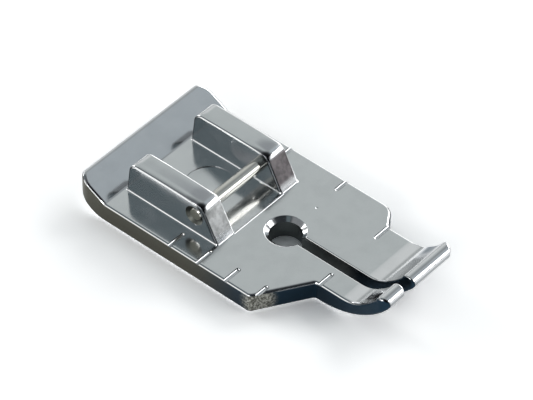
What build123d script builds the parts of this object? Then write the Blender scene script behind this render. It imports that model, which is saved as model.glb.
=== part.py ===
from build123d import *

import os
from math import acos, atan2, cos, degrees, radians, sin, tan

# Clip-on presser foot for quarter-inch patchwork seams: a plated casting and its steel cross pin.
# Millimetres. The needle comes down along the Z axis, the sole is the plane z = 0, the toes point
# to -Y, towards the person sewing, and the wide toe is on the +X side.

os.makedirs("parts", exist_ok=True)

# Sole plate
seam_allowance = 6.35
plate_left_x = 8.08
plate_right_x = 8.37
plate_thickness = 2.1
rim_radius = 0.3

# Heel flap, which rises behind the ears
heel_y = 17.2
heel_corner_radius = 1.35
heel_overrun = 0.04
heel_nose_over_rim = 0.06
heel_nose_flat = 0.05
flap_start_y = 13.9
flap_rise_deg = 28.0
flap_bend_radius = 0.45

# Shoulders between the plate and the toes
left_shoulder_deg = 31.8
right_shoulder_deg = 33.3
left_corner_y = -2.75
left_corner_radius = 0.6
right_corner_radius = 1.5
neck_radius = 0.4

# Toes
slot_width = 1.1
slot_edge_radius = 0.14
left_toe_x = 3.02
right_toe_x = 6.37
sole_front_y = -6.25
toe_under_radius = 9.0
toe_thickness = 1.28
toe_bend_radius = 3.4
toe_curl_deg = 54.0
tip_bulge = 0.04
crease_radius = 0.3
left_tip_radius = 1.2
right_tip_radius = 1.8
tip_inner_radius = 0.7
tip_overrun = 0.25

# Needle hole
needle_hole_radius = 1.5
flare_radius = 1.92
flare_depth = 0.38
flare_edge_radius = 0.12

# Ears, which clip under the shank of the machine
ear_gap = 6.32
ear_thickness = 2.23
ear_front_y = 3.14
ear_rear_y = 13.7
ear_top_z = 5.52
ear_top_crown = 0.08
ear_front_deg = 61.5
ear_rear_deg = 84.5
ear_front_round = 0.9
ear_rear_round = 0.95
ear_edge_radius = 0.18
ear_root_radius = 0.16

# Floor between the ears: a fine raised line across its front, and a dished round
floor_line_width = 0.2
floor_line_height = 0.07
dish_y = 8.7
dish_radius = 2.3
dish_step = 0.09
dish_depth = 0.2

# Cross pin and its holes
pin_radius = 0.64
pin_y = 5.88
pin_z = 4.06
pin_fit = 0.01
pin_recess = 0.1
pin_edge = 0.12
pin_hole_mouth = 0.33

# Seam marks, round-bottomed gutters cut into the top from its edges
mark_width = 0.46
mark_depth = 0.2
mark_length = 1.75
short_mark_length = 1.45
left_toe_mark_length = 1.55

# A small pit that the casting has near its right edge
pit_x = 3.95
pit_y = -0.2
pit_radius = 0.13
pit_depth = 0.04

# How far a cutting shape runs past the face it cuts, and how near two lengths count as equal
overlap = 1.0
tolerance = 0.001

# The underside of a toe curls up on one arc, and the tip is a full roll that touches it inside
# and is a little thicker than the toe.
tip_roll_radius = toe_thickness / 2 + tip_bulge
curl_arm = toe_under_radius - tip_roll_radius
roll_y = sole_front_y - curl_arm * sin(radians(toe_curl_deg))
roll_z = toe_under_radius - curl_arm * cos(radians(toe_curl_deg))
tip_y = roll_y - tip_roll_radius

# The top of a toe runs parallel to its underside, and a tighter bend joins it to the flat top.
toe_top_radius = toe_under_radius - toe_thickness
bend_arm = toe_top_radius - toe_bend_radius
bend_drop = toe_under_radius - plate_thickness - toe_bend_radius
bend_deg = degrees(acos(bend_drop / bend_arm))
bend_y = sole_front_y - bend_arm * sin(radians(bend_deg))

# The parallel top ends where it meets the roll, found by the triangle of curl centre, roll
# centre and meeting point.
crease_cos = (toe_top_radius**2 + curl_arm**2 - tip_roll_radius**2) / (2 * toe_top_radius * curl_arm)
crease_deg = toe_curl_deg - degrees(acos(crease_cos))
crease_y = sole_front_y - toe_top_radius * sin(radians(crease_deg))
crease_z = toe_under_radius - toe_top_radius * cos(radians(crease_deg))
roll_start_deg = degrees(atan2(crease_z - roll_z, crease_y - roll_y))
roll_end_deg = 270 - toe_curl_deg

# The heel ends in an upright nose, rounded on top a little more than the rims that run into it.
# Below it the underside is one arc down to the sole.
heel_nose_radius = rim_radius + heel_nose_over_rim
heel_top_z = plate_thickness + (heel_y - flap_start_y) * tan(radians(flap_rise_deg))
heel_nose_drop = heel_nose_radius * tan(radians((90 + flap_rise_deg) / 2))
heel_under_radius = heel_top_z - heel_nose_drop - heel_nose_flat
heel_sole_y = heel_y - heel_under_radius

# Shoulders and toes in plan. The plan runs on past the tips and the heel, so that its rounded
# corners only clip them.
left_neck_y = left_corner_y - (plate_left_x - left_toe_x) * tan(radians(left_shoulder_deg))
right_corner_y = -seam_allowance + (plate_right_x - right_toe_x) * tan(radians(right_shoulder_deg))
plan_front_y = tip_y - tip_overrun
plan_heel_y = heel_y + heel_overrun
slot_half = slot_width / 2

ear_inner_x = ear_gap / 2
ear_outer_x = ear_inner_x + ear_thickness
ear_corner_z = ear_top_z - ear_top_crown
ear_corner_rise = ear_corner_z - plate_thickness
ear_top_front_y = ear_front_y + ear_corner_rise / tan(radians(ear_front_deg))
ear_top_rear_y = ear_rear_y - ear_corner_rise / tan(radians(ear_rear_deg))
ear_foot_z = plate_thickness / 2

floor_line_radius = (floor_line_width**2 / 4 + floor_line_height**2) / (2 * floor_line_height)
pit_ball_radius = (pit_radius**2 + pit_depth**2) / (2 * pit_depth)
mark_radius = (mark_width**2 / 4 + mark_depth**2) / (2 * mark_depth)
mark_z = plate_thickness - mark_depth + mark_radius
pin_hole_radius = pin_radius + pin_fit

# Inner end of each mark, and the side on which it runs out
mark_ends = []
for mark_y in (seam_allowance, seam_allowance / 2, 0, -seam_allowance / 2):
    mark_ends.append((mark_length - plate_left_x, mark_y, -1))
mark_ends.append((left_toe_mark_length - left_toe_x, -seam_allowance, -1))
for mark_y in (seam_allowance, 0):
    mark_ends.append((plate_right_x - short_mark_length, mark_y, 1))
mark_ends.append((right_toe_x - mark_length, -seam_allowance, 1))

with BuildPart() as foot_casting:
    # Side outline of the plate with its heel flap and curled toes
    with BuildSketch(Plane.YZ) as side_outline:
        with BuildLine():
            Line((sole_front_y, 0), (heel_sole_y, 0))
            heel_under = CenterArc((heel_sole_y, heel_under_radius), heel_under_radius, -90, 90)
            nose = Line(heel_under @ 1, (heel_y, heel_top_z))
            flap = Line(nose @ 1, (flap_start_y, plate_thickness))
            Line(flap @ 1, (bend_y, plate_thickness))
            bend_centre = (bend_y, plate_thickness + toe_bend_radius)
            CenterArc(bend_centre, toe_bend_radius, -90, -bend_deg)
            curl_centre = (sole_front_y, toe_under_radius)
            CenterArc(curl_centre, toe_top_radius, -90 - bend_deg, bend_deg - crease_deg)
            roll_sweep = roll_end_deg - roll_start_deg
            CenterArc((roll_y, roll_z), tip_roll_radius, roll_start_deg, roll_sweep)
            CenterArc(curl_centre, toe_under_radius, -90 - toe_curl_deg, toe_curl_deg)
        make_face()
        for y, z, radius in (
            (heel_y, heel_top_z, heel_nose_radius),
            (flap_start_y, plate_thickness, flap_bend_radius),
            (crease_y, crease_z, crease_radius),
        ):
            corner = side_outline.vertices().sort_by_distance((y, z))[0]
            fillet(corner, radius)
    extrude(amount=max(plate_left_x, plate_right_x), both=True)

    # Plan outline, with the slot in front of the needle
    with BuildSketch() as plan_outline:
        with BuildLine():
            Polyline(
                (-plate_left_x, plan_heel_y),
                (-plate_left_x, left_corner_y),
                (-left_toe_x, left_neck_y),
                (-left_toe_x, plan_front_y),
                (-slot_half, plan_front_y),
                (-slot_half, 0),
                (slot_half, 0),
                (slot_half, plan_front_y),
                (right_toe_x, plan_front_y),
                (right_toe_x, -seam_allowance),
                (plate_right_x, right_corner_y),
                (plate_right_x, plan_heel_y),
                close=True,
            )
        make_face()
        for x, y, radius in (
            (-plate_left_x, plan_heel_y, heel_corner_radius),
            (plate_right_x, plan_heel_y, heel_corner_radius),
            (-plate_left_x, left_corner_y, left_corner_radius),
            (plate_right_x, right_corner_y, right_corner_radius),
            (-left_toe_x, left_neck_y, neck_radius),
            (right_toe_x, -seam_allowance, neck_radius),
            (-left_toe_x, plan_front_y, left_tip_radius),
            (right_toe_x, plan_front_y, right_tip_radius),
            (-slot_half, plan_front_y, tip_inner_radius),
            (slot_half, plan_front_y, tip_inner_radius),
        ):
            corner = plan_outline.vertices().sort_by_distance((x, y))[0]
            fillet(corner, radius)
    extrude(amount=ear_top_z, mode=Mode.INTERSECT)

    # Rounded rims, small along the slot and larger round the outside. The heel's own nose has
    # none, nor has the slot's end, which the needle hole takes away.
    walls = foot_casting.faces().filter_by(lambda face: abs(face.normal_at().Z) < tolerance)
    walls = walls.filter_by(lambda face: abs(face.normal_at().Y) < 1 - tolerance)
    slot_reach = slot_half + tip_inner_radius
    outer_walls = walls.filter_by(lambda face: abs(face.center().X) > slot_reach)
    slot_walls = walls.filter_by(lambda face: abs(face.center().X) < slot_reach)
    for wall_edges, radius in (
        (outer_walls.edges(), rim_radius),
        (slot_walls.edges(), slot_edge_radius),
    ):
        rims = wall_edges.filter_by(lambda edge: wall_edges.count(edge) == 1)
        fillet(rims.filter_by(Axis.Z, reverse=True), radius)

    # Needle hole with its flared mouth
    with BuildSketch(Plane.XZ):
        with BuildLine():
            Polyline(
                (0, -overlap),
                (needle_hole_radius, -overlap),
                (needle_hole_radius, plate_thickness - flare_depth),
                (flare_radius, plate_thickness),
                (flare_radius, plate_thickness + overlap),
                (0, plate_thickness + overlap),
                close=True,
            )
        make_face()
    revolve(axis=Axis.Z, mode=Mode.SUBTRACT)
    flare_edges = foot_casting.edges().filter_by(
        lambda edge: edge.geom_type == GeomType.CIRCLE
        and abs(edge.radius - flare_radius) < tolerance
        and abs(edge.arc_center.Z - plate_thickness) < tolerance
    )
    fillet(flare_edges, flare_edge_radius)

    # Ears, with a slightly crowned top, rounded edges and a fillet at the foot
    for ear_x in (ear_inner_x, -ear_outer_x):
        with BuildSketch(Plane.YZ.offset(ear_x)) as ear_outline:
            with BuildLine():
                outline = Polyline(
                    (ear_top_rear_y, ear_corner_z),
                    (ear_rear_y, plate_thickness),
                    (ear_rear_y, ear_foot_z),
                    (ear_front_y, ear_foot_z),
                    (ear_front_y, plate_thickness),
                    (ear_top_front_y, ear_corner_z),
                )
                crown_y = (ear_top_front_y + ear_top_rear_y) / 2
                ThreePointArc(outline @ 1, (crown_y, ear_top_z), outline @ 0)
            make_face()
            for y, radius in (
                (ear_top_front_y, ear_front_round),
                (ear_top_rear_y, ear_rear_round),
            ):
                corner = ear_outline.vertices().sort_by_distance((y, ear_corner_z))[0]
                fillet(corner, radius)
        extrude(amount=ear_thickness)
    ear_sides = foot_casting.faces().filter_by(Axis.X)
    ear_sides = ear_sides.filter_by(lambda face: face.center().Z > plate_thickness)
    above_foot = plate_thickness + ear_root_radius
    fillet(ear_sides.edges().filter_by(lambda edge: edge.center().Z > above_foot), ear_edge_radius)
    feet = foot_casting.edges().filter_by(
        lambda edge: ear_inner_x - tolerance < abs(edge.center().X) < ear_outer_x + tolerance
        and ear_front_y - tolerance < edge.center().Y < ear_rear_y + tolerance
        and plate_thickness - tolerance < edge.center().Z < above_foot
    )
    fillet(feet, ear_root_radius)

    # Fine raised line across the front of the floor, from ear to ear
    with BuildSketch(Plane.YZ):
        with Locations((ear_front_y, plate_thickness + floor_line_height - floor_line_radius)):
            Circle(floor_line_radius)
    extrude(amount=ear_inner_x + ear_root_radius, both=True)

    # Dished round in the floor
    with BuildSketch(Plane.XZ.offset(-dish_y)):
        with BuildLine():
            rim = Line((dish_radius, plate_thickness + overlap), (dish_radius, plate_thickness - dish_step))
            bowl = ThreePointArc(
                rim @ 1,
                (0, plate_thickness - dish_depth),
                (-dish_radius, plate_thickness - dish_step),
            )
            Polyline(
                bowl @ 1,
                (-dish_radius, plate_thickness + overlap),
                rim @ 0,
            )
        make_face()
        split(bisect_by=Plane.YZ)
    revolve(axis=Axis((0, dish_y, 0), (0, 0, 1)), mode=Mode.SUBTRACT)

    # Holes for the cross pin, opened out at their mouths
    with Locations((0, pin_y, pin_z)):
        Cylinder(
            pin_hole_radius,
            2 * (ear_outer_x + overlap),
            rotation=(0, 90, 0),
            mode=Mode.SUBTRACT,
        )
    mouths = foot_casting.edges().filter_by(
        lambda edge: edge.geom_type == GeomType.CIRCLE
        and abs(edge.radius - pin_hole_radius) < tolerance
        and abs(edge.center().X) > ear_outer_x - tolerance
    )
    chamfer(mouths, pin_hole_mouth)

    # Seam marks
    for mark_x, mark_y, side in mark_ends:
        with Locations((mark_x, mark_y, mark_z)):
            Sphere(mark_radius, mode=Mode.SUBTRACT)
        run = mark_length + overlap
        with Locations((mark_x + side * run / 2, mark_y, mark_z)):
            Cylinder(mark_radius, run, rotation=(0, 90, 0), mode=Mode.SUBTRACT)

    # Casting pit
    with Locations((pit_x, pit_y, plate_thickness - pit_depth + pit_ball_radius)):
        Sphere(pit_ball_radius, mode=Mode.SUBTRACT)

foot_casting.part.label = "foot_casting"
export_step(foot_casting.part, "parts/foot_casting.step")

with BuildPart() as cross_pin:
    with Locations((0, pin_y, pin_z)):
        Cylinder(pin_radius, 2 * (ear_outer_x - pin_recess), rotation=(0, 90, 0))
    chamfer(cross_pin.edges().filter_by(GeomType.CIRCLE), pin_edge)

cross_pin.part.label = "cross_pin"
export_step(cross_pin.part, "parts/cross_pin.step")
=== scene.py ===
import math

import bpy
from bpy.props import FloatProperty, FloatVectorProperty, PointerProperty
from mathutils import Matrix, Vector

bl_info = {
    "name": "Presser foot",
    "version": (1, 0, 0),
    "blender": (4, 5, 0),
    "location": "3D View > Sidebar > Presser foot",
    "description": "Finishes the quarter-inch presser foot and sets it on a pale studio floor",
    "category": "Object",
}

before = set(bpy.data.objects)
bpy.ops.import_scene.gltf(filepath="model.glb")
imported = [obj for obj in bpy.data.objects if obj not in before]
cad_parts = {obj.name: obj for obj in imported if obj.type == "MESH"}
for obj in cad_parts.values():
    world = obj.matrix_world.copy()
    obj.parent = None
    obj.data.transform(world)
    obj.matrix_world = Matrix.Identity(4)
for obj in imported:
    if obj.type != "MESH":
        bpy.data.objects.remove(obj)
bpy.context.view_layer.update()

MM = 0.001

# Heights and places on the casting, in millimetres, as in the part's source
PLATE_TOP = 2.1
RIM_RADIUS = 0.3
EAR_INNER = 3.16
EAR_OUTER = 5.39
EAR_REAR = 13.7
EAR_TOP = 5.52
PIN_END = 5.29
PIN_Y = 5.88
PIN_HEIGHT = 4.06
MOUTH_RADIUS = 0.98
EAR_MIDDLE = 0.5 * (EAR_INNER + EAR_OUTER)
PIN_AXIS = (0.0, PIN_Y, PIN_HEIGHT)

# The plane of the ears' front faces: the direction square to it in Y and Z, pointing into the ears, and
# how far along that direction it stands from the origin
FRONT_NORMAL = (0.879, -0.477)
FRONT_PLANE = 1.758

# Where the finishes of the casting begin and end. The first spans are of places in millimetres, the
# next ones of parts of the unit normal, and the last ones of the noise that mottles a finish.
BESIDE_EARS = (EAR_OUTER + 0.3, EAR_OUTER + 0.6)
UPPER_RIM = (PLATE_TOP - RIM_RADIUS, PLATE_TOP)
BEHIND_EARS = (EAR_REAR, EAR_REAR + 0.5)
TOE_ROOTS = (-6.4, -5.4)
ROLL_START = (-10.5, -8.5)
FRONT_TO_HEEL = (-3.0, 5.0)
INNER_HALF_WIDTH = (1.6, 1.9)
SLOT_MIDDLE = (-8.0, -6.0)
HOLE_REAR = (2.0, 2.4)
ABOVE_PLATE = (PLATE_TOP + 0.3, PLATE_TOP + 0.9)
EAR_FOOT = (PLATE_TOP + 0.1, PLATE_TOP + 0.2)
EAR_UPPER_PART = (EAR_TOP - 0.9, EAR_TOP - 0.6)
BEHIND_HOLE = (1.0, 2.5)
LEFT_TO_RIGHT = (-1.0, 1.0)
FRONT_BAND = (FRONT_PLANE + 0.20, FRONT_PLANE + 0.34)
RIGHT_CORNER_X = (5.2, 5.6)
RIGHT_CORNER_Y = (-7.5, -7.0)
CREASE_FRONT = (-12.1, -11.8)
CREASE_REAR = (-11.2, -10.5)
CREASE_GREY = (1.8, 4.2)
CREASE_DARK = (4.2, 5.5)
TIP_FRONT = (-12.6, -11.6)
MOUTH_EDGE = (MOUTH_RADIUS, MOUTH_RADIUS + 0.04)
MOUTH_START = (PIN_END - 0.3, PIN_END - 0.25)

WALL_STEEPNESS = (0.30, 0.62)
TURNED_SIDEWAYS = (0.15, 0.45)
TURNED_FORWARD = (-0.86, -0.70)
TURNED_BACKWARD = (0.5, 0.8)
TURNED_DOWN = (0.15, 0.5)
TURNED_LEFT = (-0.45, -0.25)
TURNED_LENGTHWAYS = (0.15, 0.35)
TURNED_RIGHT = (0.20, 0.40)
PARTLY_FORWARD = (-0.22, -0.10)
FLAT_SIDE = (0.90, 0.98)
TURNED_UP = (0.1, 0.9)

CAST_SPECKLE = (0.42, 0.62)
SATIN_MOTTLE = (0.36, 0.66)
PLATING_CLOUDS = (0.35, 0.75)
HAZE_PATCHES = (0.42, 0.72)
HAZE_SPOTS = (0.60, 0.80)
DRAW_LINES = (0.40, 0.70)

# Noises, each with its scale to a millimetre, its detail and its roughness. The last one is drawn out
# along X, as the fine lines of polishing and drawing are.
GRAIN_NOISE = (5.0, 3.0, 0.6)
MOTTLE_NOISE = (1.6, 4.0, 0.62)
CLOUD_NOISE = (0.6, 3.0, 0.5)
WAVE_NOISE = (0.35, 1.0, 0.4)
PATCH_NOISE = (0.45, 4.0, 0.6)
SPOT_NOISE = (3.5, 2.0, 0.6)
LINE_NOISE = (2.0, 4.0, 0.65)
LINE_STRETCH = (0.25, 6.0, 6.0)

# Grainy cast patch on the left front corner: its middle, the distances at which it thins out and
# ends, and its darkest and palest colours
CORNER_PATCH = (-7.3, -3.2, 1.1)
CORNER_REACH = (0.9, 1.9)
CAST_DARK = (0.10, 0.10, 0.085, 1.0)
CAST_PALE = (0.42, 0.42, 0.38, 1.0)

# Painted dark reflection as a blot on the left front corner of each ear's top: its middle, in X from the
# middle of the ear, and the distances at which it thins out and ends
EAR_CORNER = (-1.0, 5.15, 5.42)
BLOT_REACH = (0.30, 0.75)

# How strong the painted shade in the crease is, inside and at its outer end
GREY_CREASE_SHADE = 0.35
DARK_CREASE_SHADE = 0.93

# How far the mottle of the satin fronts and the clouds of the plating change their colours
MOTTLE_DARK = (0.75, 0.75, 0.75, 1.0)
MOTTLE_PALE = (1.25, 1.25, 1.25, 1.0)
CLOUD_SHADE = 0.95

# How much each dull finish and the haze of the plating add to its roughness, and the share of the haze
# that its small spots have
SIDE_DULLNESS = 0.22
SATIN_DULLNESS = 0.16
MOUTH_DULLNESS = 0.25
PLATING_HAZE = 0.05
SPOT_SHARE = 0.5

# Height of the cast grain, and how much of it the side walls have away from the corner
CAST_GRAIN_HEIGHT = 0.05 * MM
SIDE_GRAIN_SHARE = 0.12

# How the polish leans the ears' tops outwards: over how many millimetres at each side, from what Y on
# towards the front, by how much a millimetre, and how far each ear leans to the front as a whole.
# What leans to the right does so only by a share, and the toes' tips lean upwards.
SOFT_EDGE = 0.95
SOFT_FRONT = 7.2
SIDE_LEAN = 0.36
RIGHT_SHARE = 0.4
FRONT_LEAN = 0.09
LEFT_EAR_LEAN = 0.13
RIGHT_EAR_LEAN = 0.06
TIP_LEAN = 0.05

# The pin: where its cut ends begin, the heights between which its painted dark line of reflection runs, and
# how its haze, its drawn lines and its cut ends change the steel
CUT_END = (PIN_END - 0.05, PIN_END - 0.01)
SHADE_LINE_TOP = (PIN_HEIGHT + 0.24, PIN_HEIGHT + 0.34)
SHADE_LINE_FOOT = (PIN_HEIGHT + 0.02, PIN_HEIGHT + 0.12)
PIN_HAZE = 0.06
DRAWN_SHADE = 0.86
CUT_END_DULLNESS = 0.3

# The sockets of a Mix node that mixes colours: its factor, its two colours and its result
MIX_FACTOR = 0
MIX_FIRST = 6
MIX_SECOND = 7
MIX_RESULT = 2

# The photograph's view: the eye in millimetres, where it stands round and above the foot, and its tilt
EYE = (-186.178, -149.658, 240.396)
VIEW_AZIMUTH = -50.782
VIEW_ELEVATION = 44.487
VIEW_ROLL = -1.799
LENS = 263.09
SENSOR_WIDTH = 36.0

# The studio's surfaces round the foot, the later ones over the earlier ones. Each has a name, a
# direction, the angle in degrees inside which it is full, the angle at which it ends, and a colour.
SURROUND_COLOUR = (0.22, 0.23, 0.24, 1.0)
SURROUND = (
    ("overhead_diffuser", (0.55, 0.45, 0.70), 26, 50, (0.485, 0.52, 0.52)),
    ("high_seam", (0.549, 0.06, 0.833), 6, 17, (0.29, 0.31, 0.325)),
    ("front_right_diffuser", (0.53, -0.40, 0.75), 9, 18, (0.39, 0.43, 0.455)),
    ("rear_sweep", (0.549, 0.70, 0.46), 12, 20, (0.66, 0.68, 0.68)),
    ("rear_gap", (0.56, 0.83, 0.03), 5, 11, (0.40, 0.42, 0.42)),
    ("rear_left_sweep", (0.02, 0.98, 0.14), 12, 26, (1.10, 1.10, 1.10)),
    ("right_sweep", (0.97, 0.10, 0.20), 17, 32, (1.70, 1.70, 1.68)),
    ("left_strip", (-0.86, 0.42, 0.25), 11, 19, (1.30, 1.30, 1.28)),
    ("left_flag", (-0.36, 0.44, 0.82), 14, 20, (0.108, 0.138, 0.150)),
    ("zenith_flag", (-0.10, -0.02, 0.99), 13, 26, (0.12, 0.13, 0.14)),
    ("dark_room", (-0.40, -0.66, 0.58), 33, 47, (0.024, 0.028, 0.032)),
    ("camera_side_flag", (-0.549, -0.26, 0.79), 6, 11, (0.108, 0.138, 0.150)),
)

# Softboxes, each with a name, a direction, its width and height in metres, and its brightness as the
# metal shows it, where 1 is white
SOFTBOX_DISTANCE = 0.30
SOFTBOXES = (
    ("front_softbox", (0.549, -0.75, 0.375), 0.19, 0.14, 3.0),
    ("right_softbox", (0.88, -0.10, 0.46), 0.16, 0.14, 4.0),
    ("left_softbox", (-0.93, -0.15, 0.33), 0.16, 0.14, 5.0),
    ("rear_softbox", (-0.15, 0.93, 0.33), 0.16, 0.14, 4.0),
)


class CastingFinish(bpy.types.PropertyGroup):
    """Plating of the casting."""
    plating_colour: FloatVectorProperty(
        name="Plating colour",
        description="Colour that the bright plating gives to what it reflects",
        subtype="COLOR", size=4, min=0.0, max=1.0,
        default=(0.80, 0.81, 0.82, 1.0),
    )
    plating_roughness: FloatProperty(
        name="Plating roughness",
        description="Haze of the polished faces",
        default=0.13, min=0.0, max=1.0,
    )
    # Painted dark reflection on the chrome side walls, brown grey towards the heel and blue black towards
    # the toes
    side_rear_reflection_colour: FloatVectorProperty(
        name="Side colour at the heel",
        description="Colour of the less polished side walls towards the heel",
        subtype="COLOR", size=4, min=0.0, max=1.0,
        default=(0.090, 0.088, 0.070, 1.0),
    )
    side_front_reflection_colour: FloatVectorProperty(
        name="Side colour at the toes",
        description="Colour of the less polished side walls towards the toes",
        subtype="COLOR", size=4, min=0.0, max=1.0,
        default=(0.013, 0.030, 0.048, 1.0),
    )
    # Painted dark reflection on edges, most of them on the left of the ears
    dark_edge_reflection_colour: FloatVectorProperty(
        name="Dull edge colour",
        description="Colour of the edges that the polish missed, most of them on the left of the ears",
        subtype="COLOR", size=4, min=0.0, max=1.0,
        default=(0.07, 0.075, 0.08, 1.0),
    )
    mouth_colour: FloatVectorProperty(
        name="Mouth colour",
        description="Colour of the unplated mouths round the ends of the pin",
        subtype="COLOR", size=4, min=0.0, max=1.0,
        default=(0.09, 0.095, 0.085, 1.0),
    )
    # Painted shade in the crease of the right toe, blue black at its outer end
    crease_shade_colour: FloatVectorProperty(
        name="Crease colour",
        description="Blue black of the stain in the crease of the right toe, at its outer end",
        subtype="COLOR", size=4, min=0.0, max=1.0,
        default=(0.015, 0.045, 0.08, 1.0),
    )
    # Painted shade inside the needle hole and the slot
    inner_wall_shade_colour: FloatVectorProperty(
        name="Inner wall colour",
        description="Colour of the walls of the needle hole and the slot",
        subtype="COLOR", size=4, min=0.0, max=1.0,
        default=(0.17, 0.185, 0.185, 1.0),
    )
    # Painted shade under the tips of the toes and at the back of the ears
    tips_and_backs_shade_colour: FloatVectorProperty(
        name="Thin plating colour",
        description="Darker colour under the tips of the toes and at the back of the ears",
        subtype="COLOR", size=4, min=0.0, max=1.0,
        default=(0.34, 0.35, 0.36, 1.0),
    )
    # Painted reflection on the satin fronts of the ears, pale on the left and darker on the right, over a
    # real mottle
    satin_left_reflection_colour: FloatVectorProperty(
        name="Satin colour, left ear",
        description="Colour of the mottled satin front of the left ear",
        subtype="COLOR", size=4, min=0.0, max=1.0,
        default=(0.48, 0.49, 0.49, 1.0),
    )
    satin_right_reflection_colour: FloatVectorProperty(
        name="Satin colour, right ear",
        description="Colour of the mottled satin front of the right ear, a little pink",
        subtype="COLOR", size=4, min=0.0, max=1.0,
        default=(0.15, 0.138, 0.143, 1.0),
    )
    waviness: FloatProperty(
        name="Waviness",
        description="Height of the slow waves left by casting and polishing",
        default=0.0025 * MM, min=0.0, max=0.1 * MM, unit="LENGTH", precision=6,
    )


class PinFinish(bpy.types.PropertyGroup):
    """Steel of the cross pin."""
    steel_colour: FloatVectorProperty(
        name="Steel colour",
        description="Colour of the drawn steel",
        subtype="COLOR", size=4, min=0.0, max=1.0,
        default=(0.74, 0.73, 0.68, 1.0),
    )
    # Painted dark reflection as a line along the pin below its brightest one
    shade_line_colour: FloatVectorProperty(
        name="Dull line colour",
        description="Colour of the duller line that runs along the pin below its brightest one",
        subtype="COLOR", size=4, min=0.0, max=1.0,
        default=(0.38, 0.38, 0.35, 1.0),
    )
    cut_end_colour: FloatVectorProperty(
        name="Cut end colour",
        description="Colour of the dull sawn ends of the pin",
        subtype="COLOR", size=4, min=0.0, max=1.0,
        default=(0.25, 0.25, 0.21, 1.0),
    )
    steel_roughness: FloatProperty(
        name="Steel roughness",
        description="Haze of the drawn surface",
        default=0.13, min=0.0, max=1.0,
    )
    draw_line_height: FloatProperty(
        name="Draw line height",
        description="Height of the fine lines that drawing left along the pin",
        default=0.0012 * MM, min=0.0, max=0.1 * MM, unit="LENGTH", precision=6,
    )


class StudioStage(bpy.types.PropertyGroup):
    """Floor, light and camera."""
    floor_width: FloatProperty(
        name="Floor width",
        description="Width of the pale floor",
        default=3.0, min=0.2, unit="LENGTH",
    )
    floor_colour: FloatVectorProperty(
        name="Floor colour",
        description="Colour of the pale floor",
        subtype="COLOR", size=4, min=0.0, max=1.0,
        default=(0.92, 0.92, 0.92, 1.0),
    )
    floor_whiteness: FloatProperty(
        name="Floor whiteness",
        description="How much lighter than its colour the camera and the metal see the floor",
        default=1.6, min=0.5, max=4.0,
    )
    softbox_level: FloatProperty(
        name="Softbox level",
        description="Brightness of the softboxes, where 1 is as set for each of them",
        default=1.0, min=0.0,
    )
    surround_level: FloatProperty(
        name="Surround level",
        description="Brightness of the studio's surfaces round the foot, where 1 is as set for each",
        default=1.0, min=0.0,
    )


def deselect_all():
    """Leaves nothing selected, so that an operator acts only on what it makes."""
    for thing in bpy.context.selected_objects:
        thing.select_set(False)


def link(tree, source, target):
    """Joins an output to an input."""
    tree.links.new(source, target)


def feed(tree, value, target):
    """Gives an input a socket or a plain value."""
    if isinstance(value, bpy.types.NodeSocket):
        link(tree, value, target)
    else:
        target.default_value = value


def math_node(tree, operation, first, second=None):
    """A Math node whose inputs are sockets or plain numbers, as its output."""
    node = tree.nodes.new("ShaderNodeMath")
    node.operation = operation
    feed(tree, first, node.inputs[0])
    if second is not None:
        feed(tree, second, node.inputs[1])
    return node.outputs[0]


def product(tree, first, *others):
    """The product of sockets and plain numbers, as an output."""
    for other in others:
        first = math_node(tree, "MULTIPLY", first, other)
    return first


def largest(tree, first, *others):
    """The largest of some sockets and plain numbers, as an output."""
    for other in others:
        first = math_node(tree, "MAXIMUM", first, other)
    return first


def total(tree, first, *others):
    """The sum of sockets and plain numbers, as an output."""
    for other in others:
        first = math_node(tree, "ADD", first, other)
    return first


def rest_of(tree, share):
    """What a share leaves of 1, as an output."""
    return math_node(tree, "SUBTRACT", 1.0, share)


def vector_node(tree, operation, first, second=None):
    """A Vector Math node whose inputs are sockets or plain vectors."""
    node = tree.nodes.new("ShaderNodeVectorMath")
    node.operation = operation
    feed(tree, first, node.inputs[0])
    if second is not None:
        feed(tree, second, node.inputs[1])
    return node


def distance(tree, place, point):
    """How far a place is from a point, as an output."""
    return vector_node(tree, "DISTANCE", place, point).outputs["Value"]


def apart(tree, vector):
    """The X, Y and Z of a vector, as outputs."""
    node = tree.nodes.new("ShaderNodeSeparateXYZ")
    link(tree, vector, node.inputs[0])
    return node.outputs["X"], node.outputs["Y"], node.outputs["Z"]


def together(tree, x=0.0, y=0.0, z=0.0):
    """A vector of sockets and plain numbers, as an output."""
    node = tree.nodes.new("ShaderNodeCombineXYZ")
    for value, target in zip((x, y, z), node.inputs):
        feed(tree, value, target)
    return node.outputs[0]


def ramp_between(tree, value, low, high, to_low=0.0, to_high=1.0):
    """A smooth step of a value from low to high, as its output."""
    node = tree.nodes.new("ShaderNodeMapRange")
    node.interpolation_type = "SMOOTHSTEP"
    link(tree, value, node.inputs["Value"])
    node.inputs["From Min"].default_value = low
    node.inputs["From Max"].default_value = high
    node.inputs["To Min"].default_value = to_low
    node.inputs["To Max"].default_value = to_high
    return node.outputs["Result"]


def rise(tree, value, span):
    """A smooth step of a value from 0 at the start of a span to 1 at its end."""
    return ramp_between(tree, value, *span)


def fall(tree, value, span):
    """A smooth step of a value from 1 at the start of a span to 0 at its end."""
    return ramp_between(tree, value, *span, 1.0, 0.0)


def colour_mix(tree, factor, first, second, blend="MIX"):
    """A mix of two colours, each a socket or a plain colour, as its output."""
    node = tree.nodes.new("ShaderNodeMix")
    node.data_type = "RGBA"
    node.blend_type = blend
    for value, slot in ((factor, MIX_FACTOR), (first, MIX_FIRST), (second, MIX_SECOND)):
        feed(tree, value, node.inputs[slot])
    return node.outputs[MIX_RESULT]


def shaded(colour, share):
    """A colour made darker or lighter by a share."""
    return [share * part for part in colour[:3]] + [1.0]


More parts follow.
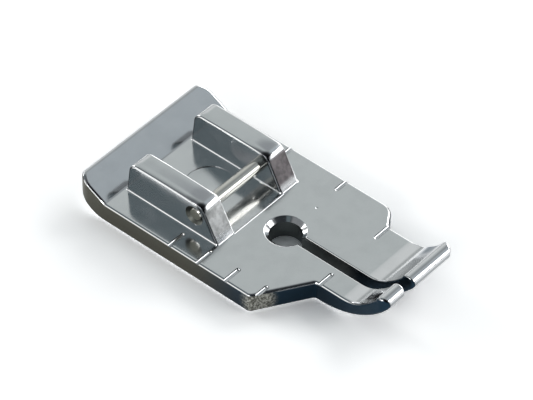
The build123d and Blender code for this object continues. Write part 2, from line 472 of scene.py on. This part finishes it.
def noise(tree, vector, kind):
    """A Noise texture of one of the kinds above, as its factor output."""
    scale, detail, rough = kind
    node = tree.nodes.new("ShaderNodeTexNoise")
    node.inputs["Scale"].default_value = scale
    node.inputs["Detail"].default_value = detail
    node.inputs["Roughness"].default_value = rough
    link(tree, vector, node.inputs["Vector"])
    return node.outputs["Fac"]


def bump(tree, height, distance, normal=None):
    """A Bump node over a normal, as its output."""
    node = tree.nodes.new("ShaderNodeBump")
    node.inputs["Distance"].default_value = distance
    link(tree, height, node.inputs["Height"])
    if normal is not None:
        link(tree, normal, node.inputs["Normal"])
    return node.outputs["Normal"]


class Surface:
    """The point that a material colours: its place in millimetres, and its normal."""

    def __init__(self, tree):
        coordinates = tree.nodes.new("ShaderNodeTexCoord")
        scaled = tree.nodes.new("ShaderNodeMapping")
        scaled.inputs["Scale"].default_value = (1.0 / MM, 1.0 / MM, 1.0 / MM)
        link(tree, coordinates.outputs["Object"], scaled.inputs["Vector"])
        self.place = scaled.outputs["Vector"]
        self.x, self.y, self.z = apart(tree, self.place)
        self.across = math_node(tree, "ABSOLUTE", self.x)
        self.normal = coordinates.outputs["Normal"]
        self.normal_x, self.normal_y, self.normal_z = apart(tree, self.normal)
        self.side_part = math_node(tree, "ABSOLUTE", self.normal_x)


def polish_marks_group():
    """Haze and fine lines that polishing leaves. Both metals use it."""
    group = bpy.data.node_groups.new("polish_marks", "ShaderNodeTree")
    face = group.interface
    face.new_socket("Place", in_out="INPUT", socket_type="NodeSocketVector")
    face.new_socket("Base roughness", in_out="INPUT", socket_type="NodeSocketFloat")
    face.new_socket("Haze", in_out="INPUT", socket_type="NodeSocketFloat")
    face.new_socket("Roughness", in_out="OUTPUT", socket_type="NodeSocketFloat")
    face.new_socket("Lines", in_out="OUTPUT", socket_type="NodeSocketFloat")
    inside = group.nodes.new("NodeGroupInput")
    outside = group.nodes.new("NodeGroupOutput")
    place = inside.outputs["Place"]
    patchy = rise(group, noise(group, place, PATCH_NOISE), HAZE_PATCHES)
    spotty = rise(group, noise(group, place, SPOT_NOISE), HAZE_SPOTS)
    worn = total(group, patchy, product(group, spotty, SPOT_SHARE))
    haze = product(group, worn, inside.outputs["Haze"])
    link(group, total(group, inside.outputs["Base roughness"], haze), outside.inputs["Roughness"])
    stretched = group.nodes.new("ShaderNodeMapping")
    stretched.inputs["Scale"].default_value = LINE_STRETCH
    link(group, place, stretched.inputs["Vector"])
    link(group, noise(group, stretched.outputs["Vector"], LINE_NOISE), outside.inputs["Lines"])
    return group


def place_polish_marks(tree, place, base, haze):
    """The polish group in a material, with its own values."""
    node = tree.nodes.new("ShaderNodeGroup")
    node.node_tree = bpy.data.node_groups.get("polish_marks") or polish_marks_group()
    node.inputs["Base roughness"].default_value = base
    node.inputs["Haze"].default_value = haze
    link(tree, place, node.inputs["Place"])
    return node


def new_metal(name):
    """A material with its node tree and its metal shader."""
    material = bpy.data.materials.new(name)
    material.use_nodes = True
    tree = material.node_tree
    shader = tree.nodes["Principled BSDF"]
    shader.inputs["Metallic"].default_value = 1.0
    return material, tree, shader


def past_edge(tree, value, edge, sign, most):
    """How far a value is past an edge, upwards for sign 1 and downwards for -1, from 0 up to the most."""
    past = product(tree, math_node(tree, "SUBTRACT", value, edge), sign)
    return math_node(tree, "MINIMUM", largest(tree, past, 0.0), most)


def polished_normal(tree, at):
    """The faces' own normal, leant outwards on the ears' tops and back on the toes' tips, which
    polishing has rounded."""
    outer = past_edge(tree, at.across, EAR_OUTER - SOFT_EDGE, 1.0, SOFT_EDGE)
    inner = past_edge(tree, at.across, EAR_INNER + SOFT_EDGE, -1.0, SOFT_EDGE)
    outwards = product(tree, math_node(tree, "SUBTRACT", outer, inner), SIDE_LEAN)
    sideways = product(tree, outwards, math_node(tree, "SIGN", at.x))
    sideways = math_node(tree, "MINIMUM", sideways, product(tree, sideways, RIGHT_SHARE))
    front = product(tree, past_edge(tree, at.y, SOFT_FRONT, -1.0, SOFT_FRONT), FRONT_LEAN)
    forwards = total(tree, ramp_between(tree, at.x, *LEFT_TO_RIGHT, LEFT_EAR_LEAN, RIGHT_EAR_LEAN), front)
    lean = together(tree, sideways, product(tree, forwards, -1.0))
    on_top = product(tree, rise(tree, at.z, EAR_UPPER_PART), rise(tree, at.normal_z, TURNED_UP),
                     rise(tree, at.y, BEHIND_HOLE))
    scaled = vector_node(tree, "SCALE", lean)
    link(tree, on_top, scaled.inputs["Scale"])
    leant = vector_node(tree, "ADD", at.normal, scaled.outputs[0])
    tip_lean = together(tree, z=ramp_between(tree, at.y, *TIP_FRONT, TIP_LEAN, 0.0))
    leant = vector_node(tree, "ADD", leant.outputs[0], tip_lean)
    unit = vector_node(tree, "NORMALIZE", leant.outputs[0])
    to_world = tree.nodes.new("ShaderNodeVectorTransform")
    to_world.vector_type = "NORMAL"
    to_world.convert_from = "OBJECT"
    to_world.convert_to = "WORLD"
    link(tree, unit.outputs[0], to_world.inputs[0])
    return to_world.outputs[0]


def side_walls(tree, at, on_roll):
    """Where the side walls are: the steep faces, apart from the ears and the fronts of the rolls. They are
    rougher, and their colour is a painted dark reflection.
    """
    steep = fall(tree, math_node(tree, "ABSOLUTE", at.normal_z), WALL_STEEPNESS)
    off_ears = largest(tree, rise(tree, at.across, BESIDE_EARS), fall(tree, at.z, UPPER_RIM),
                       rise(tree, at.y, BEHIND_EARS), fall(tree, at.y, TOE_ROOTS))
    roll_front = product(tree, on_roll, rest_of(tree, rise(tree, at.side_part, TURNED_SIDEWAYS)))
    return product(tree, steep, off_ears, rest_of(tree, roll_front))


def side_wall_reflection_and_grain(tree, at, finish, grain, near_corner):
    """Painted dark reflection on the side walls, blue black at the toes and brown grey at the heel, painted
    shade in the hole and slot, and real cast speckle at the corner.
    """
    heelwards = rise(tree, at.y, FRONT_TO_HEEL)
    colour = colour_mix(tree, heelwards, finish.side_front_reflection_colour, finish.side_rear_reflection_colour)
    inside = product(tree, fall(tree, at.across, INNER_HALF_WIDTH), rise(tree, at.y, SLOT_MIDDLE),
                     fall(tree, at.y, HOLE_REAR))
    colour = colour_mix(tree, inside, colour, finish.inner_wall_shade_colour)
    cast_colour = colour_mix(tree, rise(tree, grain, CAST_SPECKLE), CAST_DARK, CAST_PALE)
    return colour_mix(tree, near_corner, colour, cast_colour)


def satin_fronts(tree, at):
    """Where the ears have their satin fronts."""
    return product(tree, fall(tree, at.normal_y, TURNED_FORWARD), rise(tree, at.z, ABOVE_PLATE),
                   rise(tree, at.y, BEHIND_HOLE))


def satin_reflection_colour(tree, at, finish):
    """The colour of the ears' satin fronts: a painted reflection, pale on the left ear and darker pink grey
    on the right, with a real random mottle.
    """
    on_right = rise(tree, at.x, LEFT_TO_RIGHT)
    colour = colour_mix(tree, on_right, finish.satin_left_reflection_colour, finish.satin_right_reflection_colour)
    mottle = rise(tree, noise(tree, at.place, MOTTLE_NOISE), SATIN_MOTTLE)
    return colour_mix(tree, 1.0, colour, colour_mix(tree, mottle, MOTTLE_DARK, MOTTLE_PALE), "MULTIPLY")


def tips_and_backs_shade(tree, at, on_roll):
    """Where painted shade darkens the plating: under the toes' tips and behind the ears."""
    under_tips = product(tree, on_roll, fall(tree, at.normal_z, TURNED_DOWN))
    behind_ears = product(tree, rise(tree, at.normal_y, TURNED_BACKWARD), rise(tree, at.z, ABOVE_PLATE))
    return largest(tree, under_tips, behind_ears)


def painted_dark_edges(tree, at):
    """Painted dark reflection on edges: the ears' upright left edges, a band along the left of their
    fronts, a blot at the front of their tops, and the rim at the right front corner of the plate."""
    leftward = fall(tree, at.normal_x, TURNED_LEFT)
    on_ears = rise(tree, at.z, EAR_FOOT)
    lengthways = rise(tree, math_node(tree, "ABSOLUTE", at.normal_y), TURNED_LENGTHWAYS)
    upright = product(tree, leftward, lengthways, on_ears)

    from_front = total(tree, product(tree, at.y, FRONT_NORMAL[0]), product(tree, at.z, FRONT_NORMAL[1]))
    band = product(tree, fall(tree, from_front, FRONT_BAND), leftward, on_ears,
                   rise(tree, at.y, BEHIND_HOLE))

    ear_middle = product(tree, math_node(tree, "SIGN", at.x), EAR_MIDDLE)
    ear_place = together(tree, math_node(tree, "SUBTRACT", at.x, ear_middle), at.y, at.z)
    blot = fall(tree, distance(tree, ear_place, EAR_CORNER), BLOT_REACH)

    rim = product(tree, rise(tree, at.x, RIGHT_CORNER_X), rise(tree, at.normal_x, TURNED_RIGHT),
                  rise(tree, at.y, RIGHT_CORNER_Y), fall(tree, at.normal_y, PARTLY_FORWARD))
    return largest(tree, upright, band, blot, rim)


def crease_painted_shade(tree, at):
    """How strongly painted shade darkens the crease of the right toe: grey inside, dark towards its outer
    end.
    """
    in_crease = product(tree, rise(tree, at.y, CREASE_FRONT), fall(tree, at.y, CREASE_REAR))
    grey = ramp_between(tree, at.x, *CREASE_GREY, 0.0, GREY_CREASE_SHADE)
    dark = ramp_between(tree, at.x, *CREASE_DARK, 0.0, DARK_CREASE_SHADE)
    return product(tree, largest(tree, grey, dark), in_crease)


def pin_mouths(tree, at):
    """Where the ears have the mouths round the ends of the pin, without the flat faces."""
    from_axis = distance(tree, together(tree, y=at.y, z=at.z), PIN_AXIS)
    flat = rise(tree, at.side_part, FLAT_SIDE)
    return product(tree, fall(tree, from_axis, MOUTH_EDGE), rise(tree, at.across, MOUTH_START),
                   rest_of(tree, flat))


def plating_material(finish):
    """Bright plating on the faces, with rougher side walls, satin fronts and cast grain, and painted dark
    reflections and painted shade on the sides, edges, satin fronts, toes' tips, ears' backs and crease.
    """
    material, tree, shader = new_metal("bright_plating")
    at = Surface(tree)
    on_roll = fall(tree, at.y, ROLL_START)
    side = side_walls(tree, at, on_roll)
    satin = satin_fronts(tree, at)
    mouth = pin_mouths(tree, at)
    grain = noise(tree, at.place, GRAIN_NOISE)
    near_corner = fall(tree, distance(tree, at.place, CORNER_PATCH), CORNER_REACH)

    clouds = rise(tree, noise(tree, at.place, CLOUD_NOISE), PLATING_CLOUDS)
    colour = colour_mix(tree, clouds, finish.plating_colour, shaded(finish.plating_colour, CLOUD_SHADE))
    # Painted dark reflections and painted shade go over the plating here, besides the real satin mottle and
    # cast speckle
    for where, what in (
        (satin, satin_reflection_colour(tree, at, finish)),
        (tips_and_backs_shade(tree, at, on_roll), finish.tips_and_backs_shade_colour),
        (painted_dark_edges(tree, at), finish.dark_edge_reflection_colour),
        (crease_painted_shade(tree, at), finish.crease_shade_colour),
        (mouth, finish.mouth_colour),
        (side, side_wall_reflection_and_grain(tree, at, finish, grain, near_corner)),
    ):
        colour = colour_mix(tree, where, colour, what)
    link(tree, colour, shader.inputs["Base Color"])

    polish = place_polish_marks(tree, at.place, finish.plating_roughness, PLATING_HAZE)
    roughness = total(tree, polish.outputs["Roughness"], product(tree, side, SIDE_DULLNESS),
                      product(tree, satin, SATIN_DULLNESS), product(tree, mouth, MOUTH_DULLNESS))
    link(tree, roughness, shader.inputs["Roughness"])

    waves = bump(tree, noise(tree, at.place, WAVE_NOISE), finish.waviness, polished_normal(tree, at))
    grainy = total(tree, product(tree, near_corner, side), product(tree, side, SIDE_GRAIN_SHARE))
    rough_cast = bump(tree, product(tree, grain, grainy), CAST_GRAIN_HEIGHT, waves)
    link(tree, rough_cast, shader.inputs["Normal"])
    return material


def pin_material(finish):
    """Drawn steel with fine lines along the pin, a painted dark line of reflection below its brightest one,
    and cut ends.
    """
    material, tree, shader = new_metal("drawn_steel")
    at = Surface(tree)
    polish = place_polish_marks(tree, at.place, finish.steel_roughness, PIN_HAZE)
    lines = rise(tree, polish.outputs["Lines"], DRAW_LINES)
    colour = colour_mix(tree, lines, finish.steel_colour, shaded(finish.steel_colour, DRAWN_SHADE))
    # Painted dark reflection along a band of the pin
    shade_line = product(tree, fall(tree, at.z, SHADE_LINE_TOP), rise(tree, at.z, SHADE_LINE_FOOT))
    colour = colour_mix(tree, shade_line, colour, finish.shade_line_colour)
    at_end = rise(tree, at.across, CUT_END)
    link(tree, colour_mix(tree, at_end, colour, finish.cut_end_colour), shader.inputs["Base Color"])
    roughness = total(tree, polish.outputs["Roughness"], product(tree, at_end, CUT_END_DULLNESS))
    link(tree, roughness, shader.inputs["Roughness"])
    link(tree, bump(tree, polish.outputs["Lines"], finish.draw_line_height), shader.inputs["Normal"])
    return material


def dress(node_name, material):
    """Gives a CAD node its finish."""
    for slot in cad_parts[node_name].material_slots:
        slot.material = material


def floor_material(stage):
    """Pale floor. It keeps the foot's shadow. The camera and the metal see it as white where it is lit."""
    material = bpy.data.materials.new("pale_floor")
    material.use_nodes = True
    tree = material.node_tree
    tree.nodes.remove(tree.nodes["Principled BSDF"])
    matt = tree.nodes.new("ShaderNodeBsdfDiffuse")
    path = tree.nodes.new("ShaderNodeLightPath")
    seen = largest(tree, path.outputs["Is Camera Ray"], path.outputs["Is Glossy Ray"],
                   path.outputs["Is Transmission Ray"])
    white = shaded(stage.floor_colour, stage.floor_whiteness)
    link(tree, colour_mix(tree, seen, stage.floor_colour, white), matt.inputs["Color"])
    link(tree, matt.outputs[0], tree.nodes["Material Output"].inputs["Surface"])
    return material


def build_surround(stage):
    """The studio round the foot, as soft patches of the world."""
    world = bpy.data.worlds.new("studio_surround")
    world.use_nodes = True
    tree = world.node_tree
    background = tree.nodes["Background"]
    background.inputs["Strength"].default_value = stage.surround_level
    coordinates = tree.nodes.new("ShaderNodeTexCoord")
    colour = SURROUND_COLOUR
    for name, direction, full, end, tint in SURROUND:
        towards = Vector(direction).normalized()
        facing = vector_node(tree, "DOT_PRODUCT", coordinates.outputs["Generated"], towards)
        facing.name = name
        span = (math.cos(math.radians(end)), math.cos(math.radians(full)))
        colour = colour_mix(tree, rise(tree, facing.outputs["Value"], span), colour, tint + (1.0,))
    link(tree, colour, background.inputs["Color"])
    bpy.context.scene.world = world


def build_softboxes(stage):
    """Soft lamps low round the foot, which light the floor and line the rounded edges with white."""
    for name, direction, width, height, brightness in SOFTBOXES:
        deselect_all()
        towards = Vector(direction).normalized()
        bpy.ops.object.light_add(type="AREA", location=towards * SOFTBOX_DISTANCE)
        lamp = bpy.context.object
        lamp.name = name
        lamp.rotation_euler = towards.to_track_quat("Z", "Y").to_euler()
        light = lamp.data
        light.shape = "RECTANGLE"
        light.size = width
        light.size_y = height
        light.energy = stage.softbox_level * brightness * math.pi * width * height
        lamp.visible_camera = False


def build_camera():
    """The photograph's camera."""
    azimuth = math.radians(VIEW_AZIMUTH)
    elevation = math.radians(VIEW_ELEVATION)
    roll = math.radians(VIEW_ROLL)
    outwards = Vector((math.sin(azimuth), -math.cos(azimuth), 0.0))
    back = math.cos(elevation) * outwards + math.sin(elevation) * Vector((0.0, 0.0, 1.0))
    level = Vector((math.cos(azimuth), math.sin(azimuth), 0.0))
    up = back.cross(level)
    right = math.cos(roll) * level - math.sin(roll) * up
    upright = math.sin(roll) * level + math.cos(roll) * up
    deselect_all()
    bpy.ops.object.camera_add()
    camera = bpy.context.object
    camera.name = "view_camera"
    turn = Matrix((right, upright, back)).transposed().to_4x4()
    camera.matrix_world = Matrix.Translation(MM * Vector(EYE)) @ turn
    camera.data.sensor_width = SENSOR_WIDTH
    camera.data.sensor_fit = "HORIZONTAL"
    camera.data.lens = LENS
    bpy.context.scene.camera = camera


class PRESSERFOOT_OT_casting(bpy.types.Operator):
    """Plates the casting"""
    bl_idname = "presser_foot.casting"
    bl_label = "Foot casting"

    def execute(self, context):
        dress("foot_casting", plating_material(context.scene.presser_foot_casting))
        return {"FINISHED"}


class PRESSERFOOT_OT_cross_pin(bpy.types.Operator):
    """Gives the cross pin its drawn steel"""
    bl_idname = "presser_foot.cross_pin"
    bl_label = "Cross pin"

    def execute(self, context):
        dress("cross_pin", pin_material(context.scene.presser_foot_pin))
        return {"FINISHED"}


class PRESSERFOOT_OT_stage(bpy.types.Operator):
    """Sets the floor, the light and the camera"""
    bl_idname = "presser_foot.stage"
    bl_label = "Studio stage"

    def execute(self, context):
        stage = context.scene.presser_foot_stage
        deselect_all()
        bpy.ops.mesh.primitive_plane_add(size=stage.floor_width, location=(0.0, 0.0, 0.0))
        floor = bpy.context.object
        floor.name = "pale_floor"
        floor.data.materials.append(floor_material(stage))
        build_surround(stage)
        build_softboxes(stage)
        build_camera()
        context.scene.view_settings.view_transform = "Standard"
        return {"FINISHED"}


class PRESSERFOOT_PT_panel(bpy.types.Panel):
    """Buttons for the foot's finishes and its stage"""
    bl_idname = "PRESSERFOOT_PT_panel"
    bl_label = "Presser foot"
    bl_space_type = "VIEW_3D"
    bl_region_type = "UI"
    bl_category = "Presser foot"

    def draw(self, context):
        groups = (
            (context.scene.presser_foot_casting, PRESSERFOOT_OT_casting.bl_idname),
            (context.scene.presser_foot_pin, PRESSERFOOT_OT_cross_pin.bl_idname),
            (context.scene.presser_foot_stage, PRESSERFOOT_OT_stage.bl_idname),
        )
        for settings, action in groups:
            box = self.layout.box()
            for name in settings.__annotations__:
                box.prop(settings, name)
            box.operator(action)


CLASSES = (
    CastingFinish,
    PinFinish,
    StudioStage,
    PRESSERFOOT_OT_casting,
    PRESSERFOOT_OT_cross_pin,
    PRESSERFOOT_OT_stage,
    PRESSERFOOT_PT_panel,
)


def register():
    for item in CLASSES:
        bpy.utils.register_class(item)
    bpy.types.Scene.presser_foot_casting = PointerProperty(type=CastingFinish)
    bpy.types.Scene.presser_foot_pin = PointerProperty(type=PinFinish)
    bpy.types.Scene.presser_foot_stage = PointerProperty(type=StudioStage)


def unregister():
    del bpy.types.Scene.presser_foot_stage
    del bpy.types.Scene.presser_foot_pin
    del bpy.types.Scene.presser_foot_casting
    for item in reversed(CLASSES):
        bpy.utils.unregister_class(item)


def main():
    register()
    bpy.ops.presser_foot.casting()
    bpy.ops.presser_foot.cross_pin()
    bpy.ops.presser_foot.stage()


if __name__ == "__main__":
    main()
